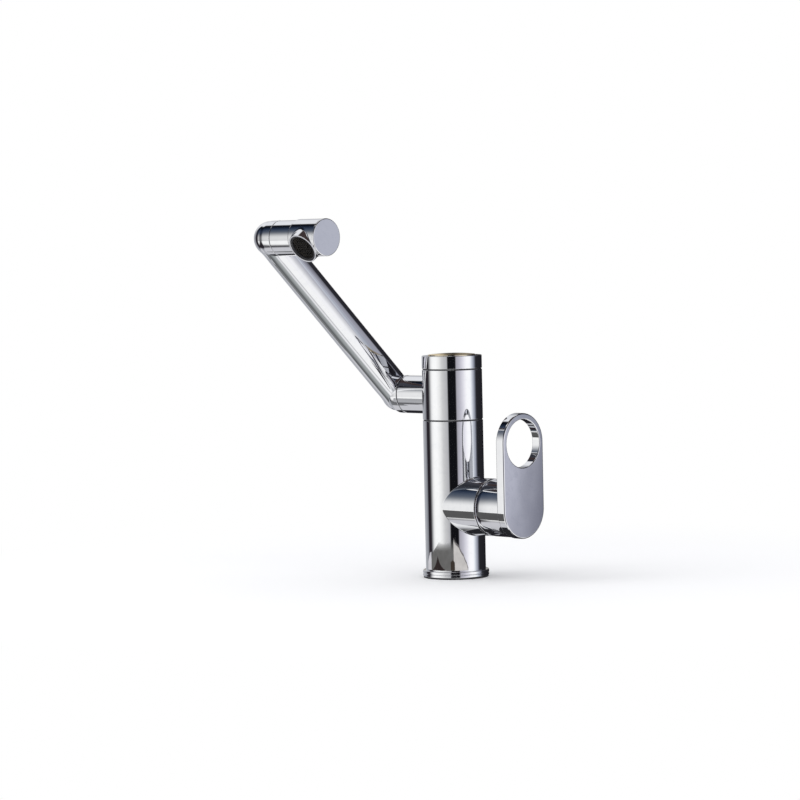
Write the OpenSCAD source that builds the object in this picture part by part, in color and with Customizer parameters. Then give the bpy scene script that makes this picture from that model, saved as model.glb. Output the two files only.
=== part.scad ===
// Single-lever basin mixer with a turning column sleeve and a folding spout arm.
// Origin: centre of the foot on the deck. +Z up, -Y towards the bowl, +X the lever side.

/* [Column] */
// Diameter of the column
column_d = 46; // [45.6:0.2:48]
// Height of the column from the deck to its top face
column_h = 170; // [166:1:186]
// Height of the turning sleeve
sleeve_h = 38; // [37:0.5:42]
// Height of the fixed cap above the sleeve
cap_h = 10; // [9.5:0.5:13]
// Thickness of the slip rings that show as dark seams
seam_t = 0.8; // [0.6:0.1:1]
// Diameter of the foot ring
foot_d = 50.8; // [50:0.2:56]
// Height of the foot ring above the deck
foot_h = 5.8; // [5.2:0.2:8]
// Thickness of the rubber gasket under the foot
gasket_t = 1.2; // [0.8:0.1:1.6]
// Diameter of the inlay in the top face
inlay_d = 36; // [30:0.5:38]

/* [Mixing side] */
// Height of the lever axis above the deck
boss_z = 55; // [54:0.5:60]
// Diameter of the side boss and of the lever hub
boss_d = 43.6; // [43.4:0.1:44.2]
// Distance from the column axis to the mouth of the side boss
boss_reach = 40.2; // [40:0.2:42]

/* [Lever] */
// Width of the lever plate
plate_w = 44.7; // [44.4:0.1:46]
// Thickness of the lever plate
plate_t = 7.6; // [6.4:0.2:8]
// Distance from the mouth of the side boss to the front of the plate
plate_out = 32; // [31.6:0.2:34]
// Distance from the lever axis up to the centre of the plate's round top
plate_up = 49.9; // [46:0.5:58]
// Diameter of the finger eye
eye_d = 36.4; // [30:0.2:37]
// Drop of the eye's centre below the centre of the round top
eye_drop = 0.5; // [0:0.1:1.5]

/* [Spout] */
// Height of the stub axis above the sleeve's lower edge
stub_up = 18; // [17.5:0.5:20]
// Diameter of the stub and of the lower elbow collar
stub_d = 29.4; // [28.6:0.2:30]
// Distance from the column axis to the stub's end
stub_len = 45.5; // [45:0.5:50]
// Distance from the stub's end to the arm axis
elbow_len = 12.4; // [12:0.2:14]
// Diameter of the arm tube
arm_d = 25; // [24.6:0.2:25.4]
// Diameter of the round knuckles at both ends of the arm
knuckle_d = 26; // [25.8:0.1:26.5]
// Length of the arm between its two cross axes
arm_len = 180; // [150:5:210]
// Lean of the arm from upright, towards the bowl
arm_lean = 47; // [35:1:60]

/* [Outlet head] */
// Diameter of the head
head_d = 27.8; // [27.6:0.1:28.6]
// Diameter of the union between arm and head
union_d = 26.6; // [26.6:0.1:27.2]
// Length of the arm's upper collar from the arm axis
collar_len = 11.4; // [11:0.2:13]
// Length of the union that shows
union_len = 19.9; // [19.6:0.1:22]
// Length of the head from the slip ring to its end face
tee_len = 26.8; // [26.6:0.1:28]
// Thickness of the head's end cap
end_cap_t = 1.5; // [1.2:0.1:1.8]
// Diameter of the outlet mouth
mouth_d = 22; // [21:0.2:22.2]
// Distance from the head axis to the rim of the mouth
mouth_out = 14.1; // [14:0.1:15]
// Angle of the outlet from straight down, towards the bowl
outlet_tilt = 55; // [0:5:90]

/* [Fits] */
// Radial gap of pieces that turn in each other
run_gap = 0.05; // [0.03:0.01:0.08]
// Radial gap of pieces that are screwed or pressed together
fit_gap = 0.03; // [0.02:0.01:0.05]
// Gap between the lever hub and its round seat
seat_gap = 0.3; // [0.2:0.05:0.4]

/* [Hidden] */
$fn = 96;
eps = 0.05;
over = 1;
column_r = column_d / 2;
foot_r = foot_d / 2;
foot_core_r = column_r - 1;
well_r = 17;
well_h = 26;
edge = 0.3;
cap_z = column_h - cap_h;
sleeve_z1 = cap_z - seam_t;
sleeve_z0 = sleeve_z1 - sleeve_h;
casting_h = sleeve_z0 - seam_t;
post_r = 15;
post_thread_r = 12.5;
post_thread_h = 14;
post_top_r = 11;
post_top_h = 7;
post_bore_r = 6.5;
seal_r = 1.2;
post_seal_zs = [sleeve_z0 + 6, sleeve_z1 - 7];
stub_z = sleeve_z0 + stub_up;
water_half = 5.5;
inlay_r = inlay_d / 2;
inlay_t = 0.8;
stop_r = 18.8;
stop_pin_r = 1.5;
stop_from = 24.8;
stop_to = 215.2;
// lever and cartridge, along +X from the column axis
boss_r = boss_d / 2;
pivot_x = boss_reach + 6.8;
cart_x = pivot_x - 37;
cart_r = 17.4;
cart_slack = 0.1;
cart_base_t = 4;
neck_r = 14.4;
turn_r = 12;
disc_r = 15.1;
fixed_disc_t = 3.4;
disc_x = cart_x + cart_base_t + fixed_disc_t;
moving_disc_r = 9.5;
moving_disc_t = 2.56;
mix_depth = 1.4;
mix_r = 3.4;
mix_low = 5.2;
mix_w = 12;
mix_slot_low = 3.6;
mix_slot_h = 2.6;
chamber_len = 17;
chamber_cover_t = 1.8;
housing_len = 35.5;
nut_r = 18.95;
nut_flange_t = 4;
nut_h = 6;
nut_hex_r = 15.9;
nut_x = cart_x + cart_base_t + chamber_len;
collar_foot_r = 14.9;
collar_foot_back = 21;
collar_foot_t = 3.1;
collar_back = 18;
collar_turn_len = 21.3;
relief_len = 10;
hub_x = boss_reach + seat_gap;
hub_cyl_r = sqrt(boss_r * boss_r - 1.44);
hub_wall = 1.7;
plate_x1 = boss_reach + plate_out;
plate_x0 = plate_x1 - plate_t;
hub_floor_x = pivot_x + 9.5;
lever_pin_r = 1.5;
ball_r = 3;
ball_back = 23;
ball_room_half = 3.4;
ball_room_low = 3.6;
ball_room_high = 8.8;
ball_room_back = 16;
stem_back = 17;
stem_w = 8;
stem_h = 7;
stem_neck_r = 2.2;
stem_neck_len = 8;
stem_end_x = plate_x0 - 1.2;
stem_room_half = 4.15;
stem_room_low = 4.8;
stem_room_high = 8.4;
stem_room_back = 17.5;
socket_fit = 0.05;
socket_end_gap = 0.4;
carrier_r = 9;
carrier_t = 5.6;
carrier_back = 27;
carrier_slot = 0.15;
carrier_seat_gap = 0.2;
tab_back = 22;
tab_t = 1.8;
tab_w = 12;
tab_slot_t = 2.2;
tab_slot_w = 12.2;
port_r = 2.1;
inlet_ports = [[-6, 3.6], [6, 3.6]];
outlet_port = [0, -6];
port_spots = [for (p = concat(inlet_ports, [outlet_port])) [-p[1], p[0]]];
port_seat_r = 4.1;
port_seat_h = 1.5;
port_seal_r = 0.7;
port_seal_mid_r = 3.25;
port_seal_z = 0.78;
inlet_x = -5;
inlet_y = 8.5;
inlet_r = 4.5;
inlet_len = 14;
stud_x = 9;
stud_r = 3.4;
stud_len = 9.5;
screw_x = plate_x0 - 4.6;
grub_r = 2.5;
grub_len = 9.95;
grub_hex_r = 1.44;
grub_hex_h = 3;
plug_r = 3;
plug_seat_h = 2;
plug_gap = 0.1;
// spout
stub_r = stub_d / 2;
arm_x = stub_len + elbow_len;
arm_r = arm_d / 2;
knuckle_r = knuckle_d / 2;
arm_bore_r = 8.5;
spigot_r = 10;
spigot_bore_r = 6.3;
spigot_x0 = arm_x - 3;
spigot_x1 = stub_len - 18.5;
spigot_seal_r = 0.85;
spigot_seal_xs = [stub_len - 3.8, stub_len - 7.4];
spigot_groove_x = stub_len - 12.5;
collar_end = elbow_len - seam_t;
head_y = -arm_len * sin(arm_lean);
head_z = stub_z + arm_len * cos(arm_lean);
// head, along +X from the arm axis
head_r = head_d / 2;
union_r = union_d / 2;
union_thread_r = 11.3;
union_x = collar_len + 0.5;
union_x1 = union_x + union_len;
tee_x = union_x1 + seam_t;
tee_x1 = tee_x + tee_len;
cap_x = tee_x1 - end_cap_t;
head_neck_r = 8.5;
neck_x = union_x + 1.8;
clip_x = union_x + 3.4;
neck_step_x = clip_x + 1.3;
neck_seal_r = 0.8;
neck_seal_xs = [union_x1 - 11, union_x1 - 5];
mouth_r = mouth_d / 2;
mouth_wall = 1.1;
mouth_x = tee_x + mouth_r + 1.7;
seat_h = 7;
chamber_r = 7.5;
cap_plug_r = 12.2;

// Turns +Z to +X.
module along_x() rotate([0, 90, 0]) children();
module at_lever() translate([0, 0, boss_z]) children();
module at_elbow() translate([-arm_x, 0, stub_z]) children();
module at_head() translate([-arm_x, head_y, head_z]) children();
// Outlet frame: +Z out of the mouth.
module at_mouth() at_head() translate([mouth_x, 0, 0]) rotate([180 - outlet_tilt, 0, 0]) children();
// Cylinder with small chamfers at both ends.
module edged(h, r, c = edge) rotate_extrude()
  polygon([[0, 0], [r - c, 0], [r, c], [r, h - c], [r - c, h], [0, h]]);
module tube(h, ro, ri) difference() {
  cylinder(h = h, r = ro);
  translate([0, 0, -1]) cylinder(h = h + 2, r = ri);
}
module o_ring(centre_r, r) rotate_extrude() translate([centre_r, 0]) circle(r = r, $fn = 32);
// A ring-shaped cut down to ri, of width w about z = 0.
module groove(ri, w, ro) translate([0, 0, -w / 2]) difference() {
  cylinder(h = w, r = ro);
  translate([0, 0, -1]) cylinder(h = w + 2, r = ri);
}

// Fixed column

module base_gasket() color("#26262a") tube(gasket_t, foot_r - 0.6, well_r);

module base_flange() color("#c9ccd2") rotate_extrude() polygon([
  [foot_core_r + fit_gap, gasket_t], [foot_r - 0.4, gasket_t], [foot_r - 0.1, gasket_t + 0.3],
  [foot_r - 0.1, foot_h * 0.54], [foot_r - 0.8, foot_h * 0.54],
  [foot_r - 0.8, foot_h * 0.54 + 0.5], [foot_r - 0.1, foot_h * 0.54 + 0.5],
  [foot_r, foot_h * 0.54 + 0.6], [foot_r, foot_h - 0.4], [foot_r - 0.4, foot_h],
  [foot_core_r + fit_gap, foot_h]]);

module body_casting() color("#c9ccd2") difference() {
  union() {
    translate([0, 0, gasket_t]) cylinder(h = foot_h - gasket_t + 1, r = foot_core_r);
    translate([0, 0, foot_h]) edged(casting_h - foot_h, column_r);
    at_lever() along_x() cylinder(h = boss_reach, r = boss_r);
  }
  translate([0, 0, -eps]) cylinder(h = well_h + eps, r = well_r);
  // hose inlets and the thread of the fixing stud
  for (s = [-1, 1]) translate([inlet_x, s * inlet_y, well_h - 1]) {
    cylinder(h = inlet_len + 1, r = inlet_r);
    cylinder(h = boss_z + 4 - well_h, r = 3.2);
  }
  translate([stud_x, 0, well_h - 1]) cylinder(h = stud_len + 1, r = stud_r);
  // passages to and from the cartridge seat
  at_lever() for (p = inlet_ports) translate([inlet_x, p[0], p[1]])
    along_x() cylinder(h = cart_x - inlet_x + eps, r = port_r);
  at_lever() translate([0, outlet_port[0], outlet_port[1]])
    along_x() cylinder(h = cart_x + eps, r = 2.6);
  translate([0, 0, boss_z + outlet_port[1] - 3]) cylinder(h = casting_h - boss_z, r = 3.8);
  translate([0, 0, casting_h - post_thread_h - 1])
    cylinder(h = post_thread_h + 2, r = post_thread_r + fit_gap);
  // stop pin
  translate([0, stop_r, casting_h - 5]) cylinder(h = 6, r = stop_pin_r + fit_gap);
  // cartridge cavity, nut thread and the round seat of the lever hub
  at_lever() along_x() {
    translate([0, 0, cart_x]) cylinder(h = nut_x - cart_x + over, r = cart_r + cart_slack);
    translate([0, 0, nut_x]) cylinder(h = boss_reach, r = nut_r + fit_gap);
    translate([0, 0, pivot_x]) sphere(r = boss_r + seat_gap);
  }
}

module swivel_post() color("#b8923f") difference() {
  union() {
    translate([0, 0, casting_h - post_thread_h]) cylinder(h = post_thread_h + 1, r = post_thread_r);
    translate([0, 0, casting_h]) cylinder(h = cap_z - casting_h, r = post_r);
    translate([0, 0, cap_z - 1]) cylinder(h = post_top_h + 1, r = post_top_r);
  }
  translate([0, 0, casting_h - post_thread_h - 1])
    cylinder(h = stub_z + water_half - casting_h + post_thread_h + 1, r = post_bore_r);
  translate([0, 0, stub_z]) groove(12, 2 * water_half, post_r + 1);
  translate([-16, 0, stub_z]) along_x() cylinder(h = 32, r = 3.5);
  translate([0, 16, stub_z]) rotate([90, 0, 0]) cylinder(h = 32, r = 3.5);
  for (z = post_seal_zs) translate([0, 0, z]) groove(post_r - 2.45, 2.6, post_r + 1);
}

module post_seals() color("#1d1d20")
  for (z = post_seal_zs) translate([0, 0, z]) o_ring(post_r - seal_r, seal_r - 0.01);

module swivel_stop_pin() color("#9fa3a8")
  translate([0, stop_r, casting_h - 5]) cylinder(h = 5 + seam_t + 2.6, r = stop_pin_r);

module lower_slip_ring() color("#2b2b30") difference() {
  translate([0, 0, casting_h]) tube(seam_t - 0.04, column_r - 0.6, post_r + 0.1);
  translate([0, stop_r, casting_h - 1]) cylinder(h = 4, r = stop_pin_r + fit_gap);
}

module upper_slip_ring() color("#2b2b30")
  translate([0, 0, sleeve_z1 + 0.04]) tube(seam_t - 0.04, column_r - 0.6, post_r + 0.1);

module top_cap() color("#c9ccd2") difference() {
  translate([0, 0, cap_z]) edged(cap_h, column_r, 0.4);
  translate([0, 0, cap_z - eps]) cylinder(h = post_top_h + 0.3, r = post_top_r + fit_gap);
  translate([0, 0, column_h - inlay_t]) cylinder(h = 1, r = inlay_r + fit_gap);
}

module top_inlay() color("#cdbb8e") translate([0, 0, column_h - inlay_t])
  cylinder(h = inlay_t - 0.1, r = inlay_r);

// Cartridge, fixed pieces

module port_cuts(t) for (p = port_spots)
  translate([p[0], p[1], -over]) cylinder(h = t + 2 * over, r = port_r);

module cartridge_base() color("#e6e3da") at_lever() along_x() translate([0, 0, cart_x]) difference() {
  cylinder(h = cart_base_t, r = cart_r);
  port_cuts(cart_base_t);
  for (p = port_spots) translate([p[0], p[1], -over]) cylinder(h = port_seat_h + over, r = port_seat_r);
}

module cartridge_seals() color("#1d1d20") at_lever() along_x() translate([0, 0, cart_x + port_seal_z])
  for (p = port_spots) translate([p[0], p[1], 0]) o_ring(port_seal_mid_r, port_seal_r);

module fixed_disc() color("#f1efe9") at_lever() along_x()
  translate([0, 0, cart_x + cart_base_t]) difference() {
    cylinder(h = fixed_disc_t, r = disc_r);
    port_cuts(fixed_disc_t);
  }

module cartridge_housing() color("#dcd9d0") at_lever() along_x()
  translate([0, 0, cart_x + cart_base_t]) difference() {
    union() {
      cylinder(h = chamber_len, r = cart_r);
      cylinder(h = housing_len, r = neck_r);
    }
    translate([0, 0, -over])
      cylinder(h = chamber_len - chamber_cover_t + over, r = disc_r + cart_slack);
    cylinder(h = housing_len + over, r = turn_r + run_gap);
  }

module cartridge_nut() color("#b8923f") at_lever() along_x() translate([0, 0, nut_x + 0.02]) difference() {
  union() {
    cylinder(h = nut_flange_t, r = nut_r);
    cylinder(h = nut_h, r = nut_hex_r, $fn = 6);
  }
  translate([0, 0, -over]) cylinder(h = nut_h + 2 * over, r = neck_r + cart_slack);
}

// Cartridge, pieces that turn with the lever

module cartridge_collar() color("#6f7277") at_lever() difference() {
  along_x() {
    translate([0, 0, pivot_x - collar_back]) cylinder(h = collar_turn_len, r = turn_r);
    translate([0, 0, pivot_x - collar_foot_back]) cylinder(h = collar_foot_t, r = collar_foot_r);
  }
  // guide for the disc carrier
  translate([pivot_x - tab_back, -tab_slot_w / 2, -collar_foot_r - over])
    cube([tab_slot_t, tab_slot_w, 2 * collar_foot_r + 2 * over]);
  // room for the lever's stem
  translate([pivot_x - tab_back, -ball_room_half, -ball_room_low])
    cube([tab_back - ball_room_back, 2 * ball_room_half, ball_room_low + ball_room_high]);
  translate([pivot_x - stem_room_back, -stem_room_half, -stem_room_low])
    cube([stem_room_back + turn_r, 2 * stem_room_half, stem_room_low + stem_room_high]);
  translate([pivot_x, turn_r + over, 0]) rotate([90, 0, 0])
    cylinder(h = 2 * turn_r + 2 * over, r = lever_pin_r + fit_gap);
}

module lever_pin() color("#9fa3a8") at_lever() translate([pivot_x, turn_r - 0.5, 0])
  rotate([90, 0, 0]) cylinder(h = 2 * turn_r - 1, r = lever_pin_r);

module disc_carrier() color("#3c5a78") at_lever() difference() {
  union() {
    translate([pivot_x - carrier_back, 0, 0]) along_x() cylinder(h = carrier_t, r = carrier_r);
    translate([pivot_x - tab_back, -tab_w / 2, -tab_w / 2]) cube([tab_t, tab_w, tab_w]);
  }
  translate([pivot_x - ball_back - ball_r - carrier_seat_gap, 0, 0]) along_x()
    cylinder(h = 3 * ball_r, r = ball_r + carrier_slot);
}

module moving_disc() color("#f1efe9") at_lever() difference() {
  translate([disc_x + 0.02, 0, 0]) along_x() cylinder(h = moving_disc_t, r = moving_disc_r);
  // mixing chamber, open towards the fixed disc
  translate([disc_x - over, 0, -mix_low]) along_x() cylinder(h = mix_depth + over, r = mix_r);
  translate([disc_x - over, -mix_w / 2, -mix_slot_low]) cube([mix_depth + over, mix_w, mix_slot_h]);
}

// Lever

module cartridge_stem() color("#b8923f") at_lever() difference() {
  union() {
    translate([pivot_x - ball_back, 0, 0]) sphere(r = ball_r);
    translate([pivot_x - ball_back, 0, 0]) along_x() cylinder(h = stem_neck_len, r = stem_neck_r);
    translate([pivot_x - stem_back, -stem_w / 2, -stem_h / 2])
      cube([stem_end_x - pivot_x + stem_back, stem_w, stem_h]);
  }
  translate([pivot_x, stem_w, 0]) rotate([90, 0, 0]) cylinder(h = 2 * stem_w, r = lever_pin_r + run_gap);
}

module plate() intersection() {
  translate([plate_x0, -plate_w / 2, -plate_w]) cube([plate_t, plate_w, plate_up + 2 * plate_w]);
  union() {
    along_x() cylinder(h = plate_x1 + 1, r = plate_w / 2 + 0.1);
    translate([0, -plate_w, 0]) cube([plate_x1 + 1, 2 * plate_w, plate_up]);
    translate([0, 0, plate_up]) along_x() cylinder(h = plate_x1 + 1, r = plate_w / 2 + 0.1);
  }
}

module handle_lever() color("#c3c6cd") at_lever() difference() {
  union() {
    intersection() {
      translate([hub_x, 0, 0]) along_x() cylinder(h = plate_x0 - hub_x + 1, r = hub_cyl_r);
      union() {
        translate([pivot_x, 0, 0]) sphere(r = boss_r);
        translate([pivot_x, -boss_d, -boss_d]) cube(2 * boss_d);
      }
    }
    plate();
  }
  translate([pivot_x, 0, 0]) sphere(r = boss_r - hub_wall);
  translate([pivot_x, 0, 0]) along_x() cylinder(h = hub_floor_x - pivot_x, r = boss_r - hub_wall - 0.2);
  // eye
  translate([plate_x0 - 1, 0, plate_up - eye_drop]) along_x() cylinder(h = plate_t + 2, r = eye_d / 2);
  // socket of the stem, grub screw thread and plug seat
  translate([hub_floor_x - over, -stem_w / 2 - socket_fit, -stem_h / 2 - socket_fit])
    cube([stem_end_x + socket_end_gap - hub_floor_x + over, stem_w + 2 * socket_fit,
      stem_h + 2 * socket_fit]);
  translate([screw_x, 0, -boss_r]) cylinder(h = boss_r - stem_h / 2 + over, r = grub_r + fit_gap);
  translate([screw_x, 0, -boss_r - over]) cylinder(h = plug_seat_h + over, r = plug_r + fit_gap);
}

module handle_grub_screw() color("#5b5e63") at_lever()
  translate([screw_x, 0, -stem_h / 2 - socket_fit - grub_len]) difference() {
    cylinder(h = grub_len, r = grub_r);
    translate([0, 0, -over]) cylinder(h = grub_hex_h + over, r = grub_hex_r, $fn = 6);
  }

module handle_screw_plug() color("#c9ccd2") at_lever() intersection() {
  translate([screw_x, 0, -boss_r - over]) cylinder(h = plug_seat_h + over - plug_gap, r = plug_r);
  translate([pivot_x, 0, 0]) along_x() cylinder(h = plate_x1 - pivot_x, r = hub_cyl_r - 0.05);
}

// Turning sleeve

module swivel_sleeve() color("#c9ccd2") difference() {
  union() {
    translate([0, 0, sleeve_z0]) edged(sleeve_h, column_r);
    translate([-stub_len, 0, stub_z]) along_x() edged(stub_len - 5, stub_r);
  }
  translate([0, 0, sleeve_z0 - 1]) cylinder(h = sleeve_h + 2, r = post_r + run_gap);
  translate([-stub_len - 1, 0, stub_z]) along_x() cylinder(h = 20, r = spigot_r + run_gap);
  translate([-stub_len - 1, 0, stub_z]) along_x() cylinder(h = stub_len, r = 5);
  translate([-spigot_groove_x, 0, stub_z - stub_r - 1]) cylinder(h = stub_r - 5, r = 2 + fit_gap);
  // arc groove of the stop pin
  translate([0, 0, sleeve_z0]) difference() {
    groove(stop_r - 1.8, 6.4, stop_r + 1.8);
    translate([0, 0, -9]) linear_extrude(height = 20) polygon([[0, 0],
      for (a = [stop_to : (360 + stop_from - stop_to) / 8 : 360.1 + stop_from]) [60 * cos(a), 60 * sin(a)]]);
  }
}

module stub_grub_screw() color("#5b5e63") translate([-spigot_groove_x, 0, stub_z]) difference() {
  union() {
    translate([0, 0, -stub_r + 0.4]) cylinder(h = stub_r - 10.7, r = 2);
    translate([0, 0, -12]) cylinder(h = 3.05, r = 1.15);
  }
  translate([0, 0, -stub_r]) cylinder(h = 2, r = 1.15, $fn = 6);
}

module stub_slip_ring() color("#2b2b30") translate([-stub_len - seam_t + 0.04, 0, stub_z])
  along_x() tube(seam_t - 0.08, stub_r - 0.4, spigot_r + 0.2);

// Arm

module spout_arm() color("#c9ccd2") difference() {
  union() {
    at_elbow() rotate([arm_lean, 0, 0]) cylinder(h = arm_len, r = arm_r);
    at_elbow() sphere(r = knuckle_r);
    at_head() sphere(r = knuckle_r);
    at_elbow() along_x() {
      cylinder(h = 5, r1 = knuckle_r - 0.3, r2 = stub_r);
      translate([0, 0, 4]) edged(collar_end - 4, stub_r);
    }
    at_head() along_x() edged(collar_len, union_r);
  }
  at_elbow() rotate([arm_lean, 0, 0]) cylinder(h = arm_len, r = arm_bore_r);
  at_elbow() translate([3, 0, 0]) along_x() cylinder(h = elbow_len, r = spigot_r + fit_gap);
  at_head() translate([4.5, 0, 0]) along_x() cylinder(h = collar_len, r = union_thread_r + fit_gap);
  at_head() along_x() cylinder(h = 6, r = 8);
  // relief where the tube's side passes the stub and the union
  at_elbow() translate([collar_end, 0, 0]) along_x() cylinder(h = relief_len, r = stub_r + 0.8);
  at_head() translate([collar_len, 0, 0]) along_x() cylinder(h = relief_len, r = union_r + 0.4);
}

module stub_spigot() color("#b8923f") translate([-spigot_x0, 0, stub_z]) along_x() difference() {
  cylinder(h = spigot_x0 - spigot_x1, r = spigot_r);
  translate([0, 0, -1]) cylinder(h = spigot_x0, r = spigot_bore_r);
  for (x = spigot_seal_xs) translate([0, 0, spigot_x0 - x]) groove(spigot_r - 1.74, 2, spigot_r + 1);
  translate([0, 0, spigot_x0 - spigot_groove_x]) groove(spigot_r - 1.4, 2.6, spigot_r + 1);
}

module spigot_seals() color("#1d1d20") for (x = spigot_seal_xs)
  translate([-x, 0, stub_z]) along_x() o_ring(spigot_r - spigot_seal_r, spigot_seal_r - 0.01);

module head_union() color("#c9ccd2") at_head() along_x() difference() {
  union() {
    translate([0, 0, 5]) cylinder(h = union_x - 4, r = union_thread_r);
    translate([0, 0, union_x]) edged(union_len, union_r);
  }
  translate([0, 0, 4]) cylinder(h = neck_step_x - 4, r = 9.8);
  translate([0, 0, 4]) cylinder(h = 40, r = head_neck_r + run_gap);
}

module union_seal() color("#2b2b30") at_head() along_x()
  translate([0, 0, collar_len]) tube(union_x - collar_len, union_r - 0.5, union_thread_r + 0.1);

module head_slip_ring() color("#2b2b30") at_head() along_x()
  translate([0, 0, union_x1]) tube(seam_t - 0.04, union_r - 0.4, head_neck_r + 0.2);

// Outlet head

module outlet_head() color("#c9ccd2") difference() {
  union() {
    at_head() along_x() {
      translate([0, 0, neck_x]) cylinder(h = tee_x - neck_x + 1, r = head_neck_r);
      translate([0, 0, tee_x]) edged(tee_len - end_cap_t, head_r, 0.4);
    }
    at_mouth() edged(mouth_out, mouth_r + mouth_wall);
  }
  at_head() along_x() {
    translate([0, 0, neck_x - 1]) cylinder(h = tee_x - neck_x + 4, r = 5);
    translate([0, 0, tee_x + 2]) cylinder(h = tee_len, r = chamber_r);
    translate([0, 0, cap_x - 1]) cylinder(h = 3, r = cap_plug_r + fit_gap);
    for (x = neck_seal_xs) translate([0, 0, x]) groove(head_neck_r - 1.64, 2, head_neck_r + 1);
    translate([0, 0, clip_x + 0.5]) groove(head_neck_r - 0.8, 1, head_neck_r + 1);
  }
  at_mouth() translate([0, 0, seat_h]) cylinder(h = mouth_out, r = mouth_r + fit_gap);
  at_mouth() cylinder(h = mouth_out, r = 7);
}

module neck_seals() color("#1d1d20") at_head() along_x() for (x = neck_seal_xs)
  translate([0, 0, x]) o_ring(head_neck_r - neck_seal_r, neck_seal_r - 0.01);

module neck_clip() color("#9fa3a8") at_head() along_x()
  translate([0, 0, clip_x + 0.05]) tube(0.9, head_neck_r + 0.8, head_neck_r - 0.75);

module end_cap() color("#b7bac3") at_head() along_x() {
  translate([0, 0, cap_x]) edged(end_cap_t, head_r, 0.4);
  translate([0, 0, cap_x - 0.5]) cylinder(h = 1, r = cap_plug_r);
}

module end_cap_seal() color("#2b2b30") at_head() along_x()
  translate([0, 0, cap_x - 1]) tube(0.5, cap_plug_r, chamber_r + 0.5);

module aerator_washer() color("#1d1d20") at_mouth()
  translate([0, 0, seat_h]) tube(0.95, mouth_r - 0.1, mouth_r - 2.6);

module aerator_housing() color("#8d9096") at_mouth() translate([0, 0, seat_h + 0.95]) difference() {
  cylinder(h = mouth_out - seat_h - 1.75, r = mouth_r);
  translate([0, 0, 0.8]) cylinder(h = mouth_out, r = mouth_r - 1.4);
  translate([0, 0, -1]) cylinder(h = mouth_out, r = mouth_r - 2.4);
}

module aerator_core() color("#2a2624") at_mouth() translate([0, 0, seat_h + 1.75]) difference() {
  cylinder(h = 2.8, r = mouth_r - 1.43);
  for (a = [0 : 30 : 330]) rotate(a) translate([6.4, 0, -1]) cylinder(h = 5, r = 0.9);
  for (a = [0 : 60 : 300]) rotate(a) translate([3.2, 0, -1]) cylinder(h = 5, r = 0.9);
}

module aerator_mesh() color("#5d5a55") at_mouth() translate([0, 0, seat_h + 4.55])
  linear_extrude(height = 0.5)
  difference() {
    circle(r = mouth_r - 1.43);
    for (i = [-4 : 4], j = [-4 : 4]) if (i * i + j * j < 18)
      translate([i * 1.9 - 0.7, j * 1.9 - 0.7]) square(1.4);
  }

base_gasket();
base_flange();
body_casting();
swivel_post();
post_seals();
swivel_stop_pin();
lower_slip_ring();
upper_slip_ring();
top_cap();
top_inlay();
cartridge_base();
cartridge_seals();
fixed_disc();
cartridge_housing();
cartridge_nut();
cartridge_collar();
lever_pin();
disc_carrier();
moving_disc();
cartridge_stem();
handle_lever();
handle_grub_screw();
handle_screw_plug();
swivel_sleeve();
stub_grub_screw();
stub_slip_ring();
spout_arm();
stub_spigot();
spigot_seals();
head_union();
union_seal();
head_slip_ring();
outlet_head();
neck_seals();
neck_clip();
end_cap();
end_cap_seal();
aerator_washer();
aerator_housing();
aerator_core();
aerator_mesh();
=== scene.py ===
import bpy, math
import numpy as np
from mathutils import Matrix, Vector
from mathutils.geometry import tessellate_polygon


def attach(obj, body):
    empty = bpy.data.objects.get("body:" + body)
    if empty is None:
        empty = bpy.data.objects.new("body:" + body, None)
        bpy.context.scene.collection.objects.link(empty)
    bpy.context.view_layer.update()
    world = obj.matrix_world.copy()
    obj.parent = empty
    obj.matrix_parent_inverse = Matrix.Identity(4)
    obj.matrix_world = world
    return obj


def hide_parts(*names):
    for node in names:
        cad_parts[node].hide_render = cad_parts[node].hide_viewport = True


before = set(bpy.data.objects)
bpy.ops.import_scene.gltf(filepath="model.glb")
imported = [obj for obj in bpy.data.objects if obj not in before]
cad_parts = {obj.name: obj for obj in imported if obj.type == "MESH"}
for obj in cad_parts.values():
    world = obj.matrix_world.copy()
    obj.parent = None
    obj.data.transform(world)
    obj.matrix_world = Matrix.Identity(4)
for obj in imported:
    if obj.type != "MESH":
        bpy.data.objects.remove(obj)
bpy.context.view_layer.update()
print("frame loaded:", len(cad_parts), "nodes")

mm = 0.001  # shapes below are worked out in millimetres
axisX, axisZ = np.eye(3)[[0, 2]]


def addObject(name, data):
    item = bpy.data.objects.new(name, data)
    bpy.context.scene.collection.objects.link(item)
    return item


# Unit vector that many degrees right of the scene's front (-y) and above the level.
def direction(azimuth, elevation=0.0):
    az, el = math.radians(azimuth), math.radians(elevation)
    return np.array([math.sin(az) * math.cos(el), -math.cos(az) * math.cos(el), math.sin(el)])


# Turns and places a camera or lamp; the rows of axes are its own x, y and z.
def putAt(item, axes, place):
    pose = Matrix(axes.T.tolist()).to_4x4()
    pose.translation = place
    item.matrix_world = pose


def axesFacing(back):  # level x, and z that points back
    side = np.cross(axisZ, back)
    side /= np.linalg.norm(side)
    return np.stack([side, np.cross(back, side), back])


# Camera

view = {
    "azimuth": 43.5214, "elevation": 3.8762, "roll": 1.1926,  # degrees
    "distance": 2.3791, "aimHeight": 0.1,                     # metres
    "focalPixels": 3105.8, "aimPixel": (453.4872, 446.3556), "pictureWidth": 800, "clip": (0.05, 50),
}


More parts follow.
